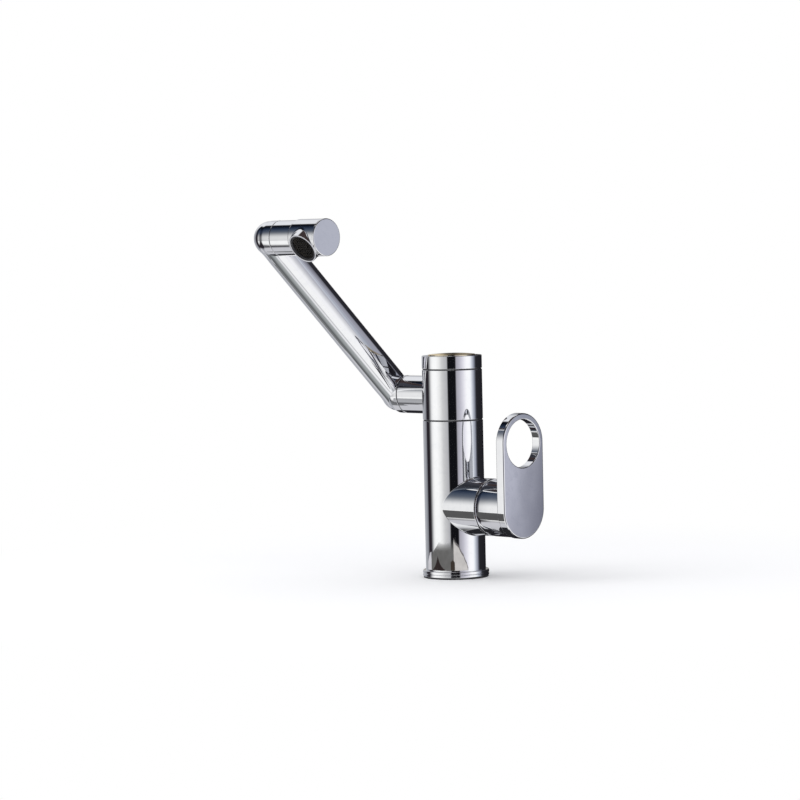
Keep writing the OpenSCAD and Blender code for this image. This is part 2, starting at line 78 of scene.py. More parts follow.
# Camera on a sphere round the aim point; a small turn brings that point to its pixel.
def placeCamera(v):
    back = direction(v["azimuth"], v["elevation"])
    (u, w), half = v["aimPixel"], v["pictureWidth"] / 2
    ray = Vector(((u - half) / v["focalPixels"], (half - w) / v["focalPixels"], -1.0))
    aim = np.array(Vector((0, 0, -1)).rotation_difference(ray).to_matrix())
    tilt = np.array(Matrix.Rotation(math.radians(v["roll"]), 3, "Z"))
    data = bpy.data.cameras.new("camera")
    data.lens = v["focalPixels"] * data.sensor_width / v["pictureWidth"]
    data.clip_start, data.clip_end = v["clip"]
    camera = addObject("camera", data)
    putAt(camera, aim @ tilt @ axesFacing(back), v["aimHeight"] * axisZ + back * v["distance"])
    bpy.context.scene.camera = camera


placeCamera(view)


# Node helpers

# Gives a node's inputs their values, by name or number; a value that is a socket is linked.
def setInputs(tree, node, values):
    for key, value in values.items():
        socket = node.inputs[key]
        if isinstance(value, bpy.types.NodeSocket):
            tree.links.new(value, socket)
        else:
            socket.default_value = (*value, 1) if socket.type == "RGBA" else value


def addNode(tree, kind, values=None, **settings):
    node = tree.nodes.new(kind)
    for key, value in settings.items():
        setattr(node, key, value)
    setInputs(tree, node, values or {})
    return node


def emptyTree(owner):
    owner.use_nodes = True
    owner.node_tree.nodes.clear()
    return owner.node_tree


def calc(tree, operation, *values):
    return addNode(tree, "ShaderNodeMath", dict(enumerate(values)), operation=operation).outputs[0]


def measure(tree, operation, *vectors):  # a number worked out from vectors
    node = addNode(tree, "ShaderNodeVectorMath", dict(enumerate(vectors)), operation=operation)
    return node.outputs["Value"]


# 0 below low, 1 above high, smooth between them.
def smoothStep(tree, value, low, high):
    node = addNode(tree, "ShaderNodeMapRange", {0: value, 1: low, 2: high}, interpolation_type="SMOOTHSTEP")
    return node.outputs[0]


def mixColours(tree, factor, a, b):
    return addNode(tree, "ShaderNodeMix", {0: factor, 6: a, 7: b}, data_type="RGBA").outputs[2]


def objectPlace(tree):
    return addNode(tree, "ShaderNodeTexCoord").outputs["Object"]


def noise(tree, place, scale, detail, **more):
    values = {"Vector": place, "Scale": scale, "Detail": detail, **more}
    return addNode(tree, "ShaderNodeTexNoise", values).outputs[0]


def bump(tree, height, distance, **more):
    return addNode(tree, "ShaderNodeBump", {"Height": height, "Distance": distance, **more}).outputs[0]


# Effects that several materials share

def newGroup(name, inputs, outputs):
    group = bpy.data.node_groups.new(name, "ShaderNodeTree")
    for way, sockets in (("INPUT", inputs), ("OUTPUT", outputs)):
        for label, default in sockets.items():
            kind, value = ("Color", (*default, 1)) if np.size(default) == 3 else ("Float", default)
            socket = group.interface.new_socket(label, in_out=way, socket_type="NodeSocket" + kind)
            socket.default_value = value
    return group, group.nodes.new("NodeGroupInput").outputs, group.nodes.new("NodeGroupOutput")


surfaceOutputs = {"Colour": (0, 0, 0), "Roughness": 0.5, "Height": 0.0}


# Plated or polished metal: slow waviness, fine random scratches, faint smears in the gloss.
polishForm = {
    "smearScale": 140.0, "smearSeen": (0.42, 0.7), "scratchSeen": (0.63, 0.72), "scratchRough": 0.02,
    "scratchDepth": -0.006,
    "scratches": [((0.6, 0.4, 1.1), (1.0, 1.0, 0.06)), ((1.9, 0.2, 0.5), (0.08, 1.0, 1.0))],  # turn, scale
}


def makePolishGroup(p):
    group, start, end = newGroup("polishMarks", {
        "Colour": (0.9, 0.9, 0.9), "Tint": (0.86, 0.87, 0.9), "Gloss": 0.04, "Smear": 0.03,
        "Wave Size": 60.0, "Scratch Size": 900.0}, surfaceOutputs)
    place = objectPlace(group)
    wave = noise(group, place, start["Wave Size"], 1.0, Roughness=0.4)
    smear = noise(group, place, p["smearScale"], 6.0, Roughness=0.65, Distortion=1.2)
    thin = []
    for turn, scale in p["scratches"]:
        lines = addNode(group, "ShaderNodeMapping", {"Vector": place, "Rotation": turn, "Scale": scale})
        grooves = noise(group, lines.outputs[0], start["Scratch Size"], 2.0)
        thin.append(smoothStep(group, grooves, *p["scratchSeen"]))
    scratches = calc(group, "MAXIMUM", *thin)
    spread = smoothStep(group, smear, *p["smearSeen"])
    gloss = calc(group, "MULTIPLY_ADD", spread, start["Smear"], start["Gloss"])
    setInputs(group, end, {
        "Colour": mixColours(group, spread, start["Colour"], start["Tint"]),
        "Roughness": calc(group, "MULTIPLY_ADD", scratches, p["scratchRough"], gloss),
        "Height": calc(group, "MULTIPLY_ADD", scratches, p["scratchDepth"], wave)})
    return group


# Moulded, cast or fired surface: two sizes of grain, and pores as small pits.
grainForm = {"coarseScale": 90.0, "pitEdge": (0.1, 0.32)}


def makeGrainGroup(g):
    group, start, end = newGroup("mouldedGrain", {
        "Colour": (0.2, 0.2, 0.2), "Tint": (0.25, 0.25, 0.25), "Gloss": 0.5, "Spread": 0.12,
        "Grain Size": 900.0, "Pores": 0.3}, surfaceOutputs)
    place = objectPlace(group)
    coarse = noise(group, place, g["coarseScale"], 4.0)
    fine = noise(group, place, start["Grain Size"], 3.0)
    cells = addNode(group, "ShaderNodeTexVoronoi", {"Vector": place, "Scale": start["Grain Size"]})
    pits = calc(group, "SUBTRACT", 1.0, smoothStep(group, cells.outputs[0], *g["pitEdge"]))
    setInputs(group, end, {
        "Colour": mixColours(group, coarse, start["Colour"], start["Tint"]),
        "Roughness": calc(group, "MULTIPLY_ADD", fine, start["Spread"], start["Gloss"]),
        "Height": calc(group, "MULTIPLY_ADD", calc(group, "MULTIPLY", pits, start["Pores"]), -1.0, fine)})
    return group


polishMarks, mouldedGrain = makePolishGroup(polishForm), makeGrainGroup(grainForm)


# Materials

def newMaterial(name, constants):
    material = bpy.data.materials.new(name)
    tree = emptyTree(material)
    shader = addNode(tree, "ShaderNodeBsdfPrincipled", constants)
    addNode(tree, "ShaderNodeOutputMaterial", {0: shader.outputs[0]})
    return material, tree, shader


def useGroup(tree, shader, group, values, distance):
    marks = addNode(tree, "ShaderNodeGroup", dict(enumerate(values)), node_tree=group).outputs
    lift = bump(tree, marks["Height"], distance)
    setInputs(tree, shader, {"Base Color": marks["Colour"], "Roughness": marks["Roughness"], "Normal": lift})
    return lift


# A look has its slot, its name, the greatest height of its bumps in metres, and its group's inputs in order.
metalLooks = {
    "chrome_brass": ("chromePlate", 2.2e-5, (0.9, 0.905, 0.92), (0.86, 0.868, 0.89), 0.022, 0.02, 34, 1500),
    "raw_brass": ("machinedBrass", 4e-5, (0.72, 0.52, 0.22), (0.6, 0.42, 0.18), 0.24, 0.16, 300, 2200),
    "steel": ("stainlessSteel", 3e-5, (0.52, 0.53, 0.55), (0.44, 0.45, 0.47), 0.26, 0.14, 260, 2600),
}
mouldedLooks = {
    "black_rubber": ("blackRubber", 5e-5, (0.012, 0.012, 0.014), (0.03, 0.03, 0.033), 0.55, 0.2, 1400, 0.5),
    "dark_polymer": ("darkPolymer", 3e-5, (0.016, 0.016, 0.02), (0.028, 0.027, 0.03), 0.32, 0.2, 1100, 0.25),
    "grey_polymer": ("greyPolymer", 3e-5, (0.24, 0.25, 0.27), (0.3, 0.31, 0.32), 0.36, 0.2, 1100, 0.25),
    "white_polymer": ("whitePolymer", 3e-5, (0.72, 0.7, 0.65), (0.79, 0.77, 0.72), 0.34, 0.18, 1100, 0.2),
    "white_ceramic": ("firedCeramic", 1e-5, (0.8, 0.78, 0.72), (0.86, 0.84, 0.79), 0.12, 0.1, 2600, 0.1),
}
giltLook = ("giltInlay", 1.5e-5, (0.74, 0.66, 0.51), (0.7, 0.62, 0.48), 0.07, 0.04, 120, 1800)
giltForm = {"tint": (0.85, 0.74, 0.52), "ringScale": 4000.0, "ringHeight": 2e-5, "ringStrength": 0.3}
materials = {}
for looks, group, metallic in ((metalLooks, polishMarks, 1.0), (mouldedLooks, mouldedGrain, 0.0)):
    for slot, (name, distance, *values) in looks.items():
        materials[slot], tree, shader = newMaterial(name, {"Metallic": metallic})
        useGroup(tree, shader, group, values, distance)


# Warm brushed disc of the top cap: polished, with fine rings turned about the column's axis.
def makeInlayMaterial(g, name, distance, *values):
    material, tree, shader = newMaterial(name, {"Metallic": 1.0, "Specular Tint": g["tint"]})
    lift = useGroup(tree, shader, polishMarks, values, distance)
    parts = addNode(tree, "ShaderNodeSeparateXYZ", {0: objectPlace(tree)}).outputs
    flat = addNode(tree, "ShaderNodeCombineXYZ", {0: parts[0], 1: parts[1]}).outputs[0]
    rings = addNode(tree, "ShaderNodeTexNoise", {
        "W": measure(tree, "LENGTH", flat), "Scale": g["ringScale"], "Detail": 3.0}, noise_dimensions="1D")
    setInputs(tree, shader, {"Normal": bump(tree, rings.outputs[0], g["ringHeight"],
                                            Strength=g["ringStrength"], Normal=lift)})
    return material


wireLook = {
    "pitch": 0.0007, "tilt": 55.0, "edge": (0.72, 0.9), "height": 1e-4,  # metres, degrees
    # bright and dull are wire colours kept far darker than steel, and gap is near black: painted shade
    # inside the mouth
    "bright": (0.1, 0.088, 0.075), "dull": (0.05, 0.042, 0.035), "gap": (0.003, 0.003, 0.003),
    "tintScale": 260.0, "rough": 0.45, "gapRough": 0.8,
}


# Woven wire seen across the mouth: a wire lies where the sine of either way's distance is near its top. The
# wires get colours far darker than steel and the gaps between them near black, as painted shade of the
# mouth's inside.
def makeMeshMaterial(w):
    material, tree, shader = newMaterial("wireMesh", {"Metallic": 0.6})
    place, waves, tilt = objectPlace(tree), [], math.radians(w["tilt"])
    for way in ((1.0, 0.0, 0.0), (0.0, math.cos(tilt), -math.sin(tilt))):
        at = measure(tree, "DOT_PRODUCT", place, way)
        waves.append(calc(tree, "SINE", calc(tree, "MULTIPLY", at, 2 * math.pi / w["pitch"])))
    wire = smoothStep(tree, calc(tree, "MAXIMUM", *waves), *w["edge"])
    metal = mixColours(tree, noise(tree, place, w["tintScale"], 3.0), w["bright"], w["dull"])
    rough = calc(tree, "MULTIPLY_ADD", wire, w["rough"] - w["gapRough"], w["gapRough"])
    setInputs(tree, shader, {"Base Color": mixColours(tree, wire, w["gap"], metal), "Roughness": rough,
                             "Normal": bump(tree, wire, w["height"])})
    return material


materials["gilt_inlay"] = makeInlayMaterial(giltForm, *giltLook)
materials["aerator_mesh"] = makeMeshMaterial(wireLook)
# the housing's own slot is grey polymer; it takes the dark one so that the mouth renders dark, which is
# painted shade of the mouth's inside
materials["aerator_housing"] = materials["dark_polymer"]
for name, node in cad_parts.items():
    slot = node.data.materials[0].name.split(".")[0]
    node.data.materials[0] = materials[name if name in materials else slot]
print("materials made:", len(materials))


# Surfaces

degreesPerPart = 9.0  # of a rounded corner
sideShare = 0.49      # of a side's length that one rounding may take
poleSize = 1e-5       # a row no wider than this is a pole
leastTurn = 1e-4      # a turn below this many radians is no corner


# Outline of (along, out, radius) corners, run along a half section. Each corner becomes an arc tangent
# to both of its sides; radius 0 keeps the point, with the mean of its sides' normals.
def roundOutline(corners, loop=False):
    raw = np.array([c[:2] for c in corners], float)
    count, nxt = len(corners), np.roll(raw, -1, 0)
    side = 1 if np.sum(raw[:, 0] * nxt[:, 1] - nxt[:, 0] * raw[:, 1]) > 0 else -1
    points, normals = [], []
    for i, (here, corner) in enumerate(zip(raw, corners)):
        radius = corner[2] if len(corner) > 2 else 0.0
        a, b = here - raw[i - 1], nxt[i] - here
        if not loop and i in (0, count - 1):  # an end has one side only
            a = b = b if i == 0 else a
        la, lb = np.linalg.norm(a), np.linalg.norm(b)
        a, b = a / la, b / lb
        turn = math.acos(max(-1.0, min(1.0, float(a @ b))))
        if radius <= 0 or turn < leastTurn:
            mean = a + b
            points.append(here)
            normals.append(side * np.array([mean[1], -mean[0]]) / np.linalg.norm(mean))
            continue
        reach = min(radius * math.tan(turn / 2), sideShare * la, sideShare * lb)
        radius = reach / math.tan(turn / 2)
        way = 1 if a[0] * b[1] > a[1] * b[0] else -1
        spoke = way * np.array([a[1], -a[0]])
        centre = here - a * reach - spoke * radius
        parts = max(2, math.ceil(math.degrees(turn) / degreesPerPart))
        for angle in np.linspace(0, way * turn, parts + 1):
            c, s = math.cos(angle), math.sin(angle)
            out = np.array([[c, -s], [s, c]]) @ spoke
            points.append(centre + out * radius)
            normals.append(side * way * out)
    return np.array(points), np.array(normals)


# Rim of a ball that is cut off that far past its centre: radius, and angle in degrees.
def ballRim(radius, past):
    out = math.sqrt(radius ** 2 - past ** 2)
    return out, math.degrees(math.atan2(out, past))


# Points on an arc of a half section whose centre is on the axis, as outline corners without rounding.
def arcCorners(along, radius, start, stop, parts):
    t = np.radians(np.linspace(start, stop, parts + 1))
    return list(zip(along + radius * np.cos(t), radius * np.sin(t)))


# Numbers of a grid's points; a row that shrinks to a point becomes a pole.
def gridIndex(points):
    index = np.arange(points.shape[0] * points.shape[1]).reshape(points.shape[:2])
    pole = np.ptp(points, axis=1).max(axis=1) < poleSize
    index[pole] = index[pole][:, :1]
    return index


# Quads between the rows of a grid that closes round its columns.
def ringQuads(index):
    a, b = index[:-1], index[1:]
    return np.stack([a, np.roll(a, -1, 1), np.roll(b, -1, 1), b], -1)


# Turns quads round if they face against their normals.
def faceOut(points, normals, quads):
    a, b, c, d = (points[quads[:, i]] for i in range(4))
    against = np.sum(np.cross(c - a, d - b) * normals[quads].sum(1)) < 0
    return quads[:, ::-1] if against else quads


# Quads turned the right way, with triangles split off where a corner repeats, and unused points dropped.
def facesFromQuads(points, normals, quads):
    used, inverse = np.unique(faceOut(points, normals, quads), return_inverse=True)
    quads = inverse.reshape(quads.shape)
    same = quads == np.roll(quads, -1, 1)
    faces = quads[~same.any(1)].tolist()
    for i in range(4):
        only = same[:, i] & (same.sum(1) == 1)
        faces += np.delete(quads[only], i, axis=1).tolist()
    return points[used], normals[used], faces


def shellFromGrid(points, normals, loopRows=False):
    index = gridIndex(points)
    quads = ringQuads(np.vstack([index, index[:1]]) if loopRows else index)
    return facesFromQuads(points.reshape(-1, 3), normals.reshape(-1, 3), quads.reshape(-1, 4))


def perpendicular(axis):
    side = np.cross(axis, axisZ if abs(axis[2]) < 0.9 else axisX)
    side /= np.linalg.norm(side)
    return side, np.cross(axis, side)


# Points and normals of an outline carried along an axis and out along each spoke.
def sweep(outline, slope, axis, spoke):
    return (o[:, 0, None, None] * axis + o[:, 1, None, None] * spoke for o in (outline, slope))


# Lathe: a point is origin + axis * along + out * (side * cos t + up * sin t).
def turned(corners, origin=(0, 0, 0), axis=axisZ, count=256, loop=False, reshape=None):
    side, up = perpendicular(axis)
    t = np.linspace(0, 2 * np.pi, count, endpoint=False)[:, None]
    points, normals = sweep(*roundOutline(corners, loop), axis, np.cos(t) * side + np.sin(t) * up)
    points += origin
    if reshape:
        points, normals = reshape(points, normals)
    return shellFromGrid(points, normals, loop)


# Fillet where a round branch leaves a round main tube: a ball rolls in the corner, touching both, and
# each section is the arc between its touching points, and a share of it past them, closed through a point
# inside the metal.
def cornerFillet(mainR, branchR, ball, origin, mainAxis, branchAxis,
                 count=256, parts=8, past=0.04, sunk=1.7):
    t = np.linspace(0, 2 * np.pi, count, endpoint=False)
    wide, reach = branchR + ball, mainR + ball
    y, z = wide * np.sin(t), wide * np.cos(t)
    centre = np.stack([np.sqrt(reach ** 2 - y ** 2), y, z], 1)
    a, b = -centre * (0, 1 / wide, 1 / wide), -centre * (1 / reach, 1 / reach, 0)
    angle = np.arccos(np.clip(np.sum(a * b, 1), -1, 1))[:, None]
    rows, facing = [], []
    for f in np.linspace(-past, 1 + past, parts + 1):
        spoke = (np.sin((1 - f) * angle) * a + np.sin(f * angle) * b) / np.sin(angle)
        rows.append(centre + ball * spoke)
        facing.append(-spoke)
    middle = a + b
    middle /= np.linalg.norm(middle, axis=1)[:, None]
    rows.append(centre + middle * ball * sunk)
    facing.append(middle)
    basis = np.stack([branchAxis, np.cross(mainAxis, branchAxis), mainAxis])
    return shellFromGrid(np.array(rows) @ basis + origin, np.array(facing) @ basis, loopRows=True)


mouthForm = {
    "apronRows": 6, "apronRun": 0.45, "apronSideRun": 2.0,                # on the barrel, round the mouth
    "cornerRows": 5, "roomShare": 0.9, "leastCorner": 0.02, "lead": 0.5,  # corner, start of the section
}


# Round barrel with a round mouth in its side, raised on a boss or sunk as a hole. A window is left out
# of the barrel's grid, rows on the barrel lead from its edge to the mouth's crossing curve, and from there
# one grid goes over the corner (a quadratic curve), along the wall and through the mouth's own section,
# whose corners are (distance from the barrel's axis, radius, rounding).
def mouthedBarrel(before, after, w, section, origin, axis, out):
    side = np.cross(out, axis)
    tube, width, n, m = w["radius"], w["width"], w["around"], w["along"]
    form, sign = mouthForm, 1.0 if w["raised"] else -1.0
    half = math.radians(w["angle"])
    rest = np.linspace(half, 2 * math.pi - half, w["rest"] + 1)[1:-1]
    angles = np.concatenate([np.linspace(-half, half, n + 1), rest])
    lengths = np.linspace(w["start"], w["end"], m + 1)
    (nearRows, nearSlope), (farRows, farSlope) = roundOutline(before), roundOutline(after)
    outline = np.vstack([nearRows[:-1], np.column_stack([lengths, np.full(m + 1, tube)]), farRows[1:]])
    slope = np.vstack([nearSlope[:-1], np.tile([0.0, 1.0], (m + 1, 1)), farSlope[1:]])

    def wayAt(turn):
        return np.cos(turn)[..., None] * out + np.sin(turn)[..., None] * side

    points, normals = sweep(outline, slope, axis, wayAt(angles))
    index = gridIndex(points)
    quads = ringQuads(index)
    first = len(nearRows) - 1
    last = first + m
    keep = np.ones(quads.shape[:2], bool)
    keep[first:last, :n] = False
    border = np.concatenate([index[first, :n], index[first:last, n], index[last, n:0:-1],
                             index[last:first:-1, 0]])
    across = np.concatenate([angles[:n], np.full(m, angles[n]), angles[n:0:-1], np.full(m, angles[0])])
    x = points.reshape(-1, 3)[border] @ axis
    psi = np.arctan2(across * tube, x - w["at"])
    tall = np.sqrt(tube ** 2 - (width * np.sin(psi)) ** 2)  # height of the crossing curve
    room = np.abs(section[0][0] - tall)
    blend = np.minimum(w["blend"], np.maximum(room * form["roomShare"], form["leastCorner"]))
    radial = np.cos(psi)[:, None] * axis + np.sin(psi)[:, None] * side
    centre = w["at"] * axis
    wide = width + np.minimum(blend, form["apronRun"] + form["apronSideRun"] * np.sin(psi) ** 2)
    xEdge = w["at"] + wide * np.cos(psi)
    turnEdge = np.arcsin(np.clip(wide * np.sin(psi) / tube, -1, 1))
    grid, facing = [], []
    for f in np.linspace(0, 1, form["apronRows"] + 1)[1:]:
        way = wayAt(across * (1 - f) + turnEdge * f)
        grid.append((x * (1 - f) + xEdge * f)[:, None] * axis + tube * way)
        facing.append(way)
    lift, crease = grid[-1], centre + width * radial + tall[:, None] * out
    wall, start = crease + sign * blend[:, None] * out, facing[-1]
    for f in np.linspace(0, 1, form["cornerRows"] + 1)[1:]:
        grid.append(lift * (1 - f) ** 2 + 2 * crease * f * (1 - f) + wall * f ** 2)
        facing.append(start * (1 - f) + sign * radial * f)
    corners = [(section[0][0] - sign * form["lead"], width)] + list(section)
    path, slopes = roundOutline(corners)
    if slopes[0, 1] * sign < 0:
        slopes = -slopes
    for (high, reach), (nu, nr) in zip(path[1:], slopes[1:]):
        grid.append(centre + reach * radial + high * out)
        facing.append(nr * radial + nu * out)
    grid, facing = np.array(grid), np.array(facing)
    inner = index.size + np.arange(len(grid) * len(border)).reshape(len(grid), -1)
    inner[-1] = inner[-1][:1]
    more = ringQuads(np.vstack([border[None], inner])).reshape(-1, 4)
    points = np.vstack([points.reshape(-1, 3), grid.reshape(-1, 3)])
    normals = np.vstack([normals.reshape(-1, 3), facing.reshape(-1, 3)])
    quads = np.vstack([faceOut(points, normals, part) for part in (quads[keep], more)])
    return facesFromQuads(points + origin, normals, quads)


# Joins shells into one object at the origin, smooth, with the worked-out normals.
def makePiece(name, shells, body, replaced, slot="chrome_brass"):
    points, normals, faces, start = [], [], [], 0
    for p, n, f in shells:
        points.append(p)
        normals.append(n / np.maximum(np.linalg.norm(n, axis=1), 1e-9)[:, None])
        faces += [[i + start for i in face] for face in f]
        start += len(p)
    points, normals = np.vstack(points) * mm, np.vstack(normals)
    mesh = bpy.data.meshes.new(name)
    mesh.from_pydata(points.tolist(), [], faces)
    mesh.polygons.foreach_set("use_smooth", np.ones(len(mesh.polygons), bool))
    mesh.update()
    mesh.normals_split_custom_set_from_vertices(normals.tolist())
    mesh.materials.append(materials[slot])
    piece = addObject(name, mesh)
    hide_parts(replaced)
    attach(piece, body)


# Column and foot

column = {
    "radius": 23.0, "footRadius": 22.0, "footTop": 5.8, "bottom": 1.2, "top": 120.4, "edge": 0.35,
    "wellRadius": 17.0, "wellTop": 26.0, "holeTop": 37.0,
    "wellHoles": [(-5.0, -8.5, 4.5), (-5.0, 8.5, 4.5), (9.0, 0.0, 3.4)],  # x, y, radius
    "bossHeight": 55.0, "bossRadius": 21.8, "bossStart": 6.0, "bossReach": 40.2, "pivot": 47.0,
    "seatRadius": 22.1, "seatDepth": 31.0, "nutBore": 18.98, "cornerBall": 0.9,
    "roomRadius": 17.5, "roomFloor": 9.9, "roomOpening": 18.4, "roomRows": (36.0, 74.0, 34),
}


# Thick disc with round holes. Every wall is a strip of four rings, with a small bevel to each face, and
# the faces are cut into triangles between their rings.
def holedDisc(radius, holes, low, high, bevel=0.15, count=64):
    t = np.linspace(0, 2 * np.pi, count, endpoint=False)
    spoke = np.column_stack([np.cos(t), np.sin(t), 0 * t])
    points, normals, faces = [], [], []
    circles = [(0.0, 0.0, radius, 1.0)] + [(*hole, -1.0) for hole in holes]
    for x, y, r, sign in circles:
        for level, inset, up in ((low, bevel, -1), (low + bevel, 0, 0),
                                 (high - bevel, 0, 0), (high, bevel, 1)):
            points.append((x, y, level) + (r - sign * inset) * spoke)
            normals.append(np.tile(up * axisZ, (count, 1)) if up else sign * spoke)
    index = np.arange(len(points) * count).reshape(len(circles), 4, count)
    points, normals = np.vstack(points), np.vstack(normals)
    for rings in index:
        faces += faceOut(points, normals, ringQuads(rings).reshape(-1, 4)).tolist()
    for rings, upward in ((index[:, 0], False), (index[:, 3], True)):
        for tri in tessellate_polygon([points[ring].tolist() for ring in rings]):
            a, b, c = rings.ravel()[list(tri)].tolist()
            ccw = np.cross(points[b] - points[a], points[c] - points[a])[2] > 0
            faces.append([a, b, c] if ccw == upward else [a, c, b])
    return points, normals, faces


# Presses the column's wall inside the boss back to the floor of the cartridge room: each point nearer
# to the boss axis than the opening gets the floor's x.
def pressRoom(points, normals):
    onWall = np.hypot(points[..., 0], points[..., 1]) > column["radius"] - 0.05
    away = np.hypot(points[..., 1], points[..., 2] - column["bossHeight"])
    inside = onWall & (away < column["roomOpening"]) & (points[..., 0] > column["roomFloor"])
    points[inside, 0] = column["roomFloor"]
    normals[inside] = axisX
    return points, normals


def makeColumn(c):
    body = turned([(c["holeTop"], 0), (c["holeTop"], c["wellRadius"], 0.3),
                   (c["bottom"], c["wellRadius"], 0.3), (c["bottom"], c["footRadius"], 0.2),
                   (c["footTop"] - 0.2, c["footRadius"], 0.1), (c["footTop"], c["radius"], 0.1)]
                  + [(z, c["radius"]) for z in np.linspace(*c["roomRows"])]
                  + [(c["top"], c["radius"], c["edge"]), (c["top"], 0)],
                  reshape=pressRoom)
    rimR, stop = ballRim(c["seatRadius"], c["bossReach"] - c["pivot"])
    start = 180 - math.degrees(math.asin(c["nutBore"] / c["seatRadius"]))
    boss = turned([(c["bossStart"], c["roomRadius"]), (c["seatDepth"], c["roomRadius"], 0.15),
                   (c["seatDepth"], c["nutBore"], 0.2)]
                  + arcCorners(c["pivot"], c["seatRadius"], start, stop, 8)
                  + [(c["bossReach"], rimR + 0.02), (c["bossReach"], c["bossRadius"], 0.3),
                     (c["bossStart"], c["bossRadius"], 0.3)],
                  (0, 0, c["bossHeight"]), axisX, loop=True)
    corner = cornerFillet(c["radius"], c["bossRadius"], c["cornerBall"], (0, 0, c["bossHeight"]),
                          axisZ, axisX)
    ceiling = holedDisc(c["wellRadius"] + 0.3, c["wellHoles"], c["wellTop"], c["holeTop"] + 0.3)
    makePiece("columnCasting", [body, boss, corner, ceiling], "column", "body_casting")


makeColumn(column)

footRing = {
    "inner": 22.05, "radius": 25.4, "lowRadius": 25.3, "bottom": 1.2, "top": 5.8,
    "grooveRadius": 24.6, "grooveLow": 3.13, "grooveHigh": 3.63, "edge": 0.45,
}


def makeFootRing(f):
    ring = turned([(f["bottom"], f["inner"], 0.1), (f["bottom"], f["lowRadius"], 0.4),
                   (f["grooveLow"], f["lowRadius"], 0.2), (f["grooveLow"] + 0.02, f["grooveRadius"], 0.12),
                   (f["grooveHigh"] - 0.02, f["grooveRadius"], 0.12), (f["grooveHigh"], f["radius"], 0.2),
                   (f["top"], f["radius"], f["edge"]), (f["top"], f["inner"], 0.1)],
                  loop=True)
    makePiece("footRing", [ring], "column", "base_flange")


makeFootRing(footRing)

topCap = {"radius": 23.0, "bottom": 160.0, "top": 170.0, "recess": 18.03, "recessDepth": 0.8, "edge": 0.5}


def makeTopCap(c):
    cap = turned([(c["bottom"], 0), (c["bottom"], c["radius"], 0.35), (c["top"], c["radius"], c["edge"]),
                  (c["top"], c["recess"], 0.15), (c["top"] - c["recessDepth"], c["recess"], 0.1),
                  (c["top"] - c["recessDepth"], 0)])
    makePiece("topCap", [cap], "column", "top_cap")


makeTopCap(topCap)

inlay = {"radius": 17.9, "bottom": 169.22, "shoulder": 170.7, "crown": 1.0, "edge": 0.3, "rows": 9}


# Low domed disc in the cap's recess: its height falls with the square of the distance from the middle.
def makeInlay(d):
    out = np.linspace(d["radius"], 0, d["rows"] + 1)[1:]
    dome = [(d["shoulder"] + d["crown"] * (1 - (r / d["radius"]) ** 2), r) for r in out]
    disc = turned([(d["bottom"], 0), (d["bottom"], d["radius"], 0.1),
                   (d["shoulder"], d["radius"], d["edge"])] + dome, count=192)
    makePiece("capInlay", [disc], "column", "top_inlay", "gilt_inlay")


makeInlay(inlay)


# Turning sleeve with its stub

sleeve = {
    "radius": 23.0, "low": 121.2, "high": 159.2, "bore": 15.05, "edge": 0.35,
    "stubHeight": 139.2, "stubRadius": 14.7, "stubStart": 17.0, "stubReach": 45.5, "stubBore": 10.05,
    "boreFloor": 27.5, "screwFloor": 11.5, "cornerBall": 1.1,
}
stubWindow = {"radius": 14.7, "at": 33.0, "angle": 20.0, "start": 28.5, "end": 37.5, "width": 2.03,
              "blend": 0.25, "raised": False, "around": 16, "along": 12, "rest": 200}


def makeSleeve(s, w):
    body = turned([(s["low"], s["bore"], 0.2), (s["low"], s["radius"], s["edge"]),
                   (s["high"], s["radius"], s["edge"]), (s["high"], s["bore"], 0.2)],
                  loop=True)
    r = s["stubRadius"]
    stub = mouthedBarrel([(s["stubStart"], 0), (s["stubStart"], r, 0.3), (w["start"], r)],
                         [(w["end"], r), (s["stubReach"], r, 0.35), (s["stubReach"], s["stubBore"], 0.2),
                          (s["boreFloor"], s["stubBore"], 0.2), (s["boreFloor"], 0)], w,
                         [(s["screwFloor"], w["width"], 0.1), (s["screwFloor"], 0)],
                         (0, 0, s["stubHeight"]), -axisX, -axisZ)
    corner = cornerFillet(s["radius"], s["stubRadius"], s["cornerBall"], (0, 0, s["stubHeight"]),
                          axisZ, -axisX)
    makePiece("turningSleeve", [body, stub, corner], "sleeve", "swivel_sleeve")


makeSleeve(sleeve, stubWindow)


# Spout arm

arm = {
    "elbow": (-57.9, 0.0, 139.2), "lean": 47.0, "length": 180.0, "radius": 12.5, "ball": 13.0,
    "endRadius": 10.0, "endReach": 1.0, "flareStart": 2.0, "flareEnd": 17.0, "planeRun": 3.5,
    "planeDepth": 0.05, "flareParts": 12, "swellParts": 8, "ballArc": (180, 92, 24),
}
# At each end: collar's radius and end face, its bore and the bore's floor, its edge, how far its ball
# swells, and how far along the arm the side stays planed flush with the end face.
armEnds = [
    {"radius": 14.7, "end": 11.6, "bore": 10.03, "floor": 4.0, "edge": 0.35, "swell": 5.5, "clear": 15.4},
    {"radius": 13.3, "end": 11.4, "bore": 11.33, "floor": 5.0, "edge": 0.3, "swell": 4.5, "clear": 13.8},
]
lean = math.radians(arm["lean"])
armAxis = np.array([0.0, -math.sin(lean), math.cos(lean)])
elbowAt = np.array(arm["elbow"])
headAt = elbowAt + armAxis * arm["length"]


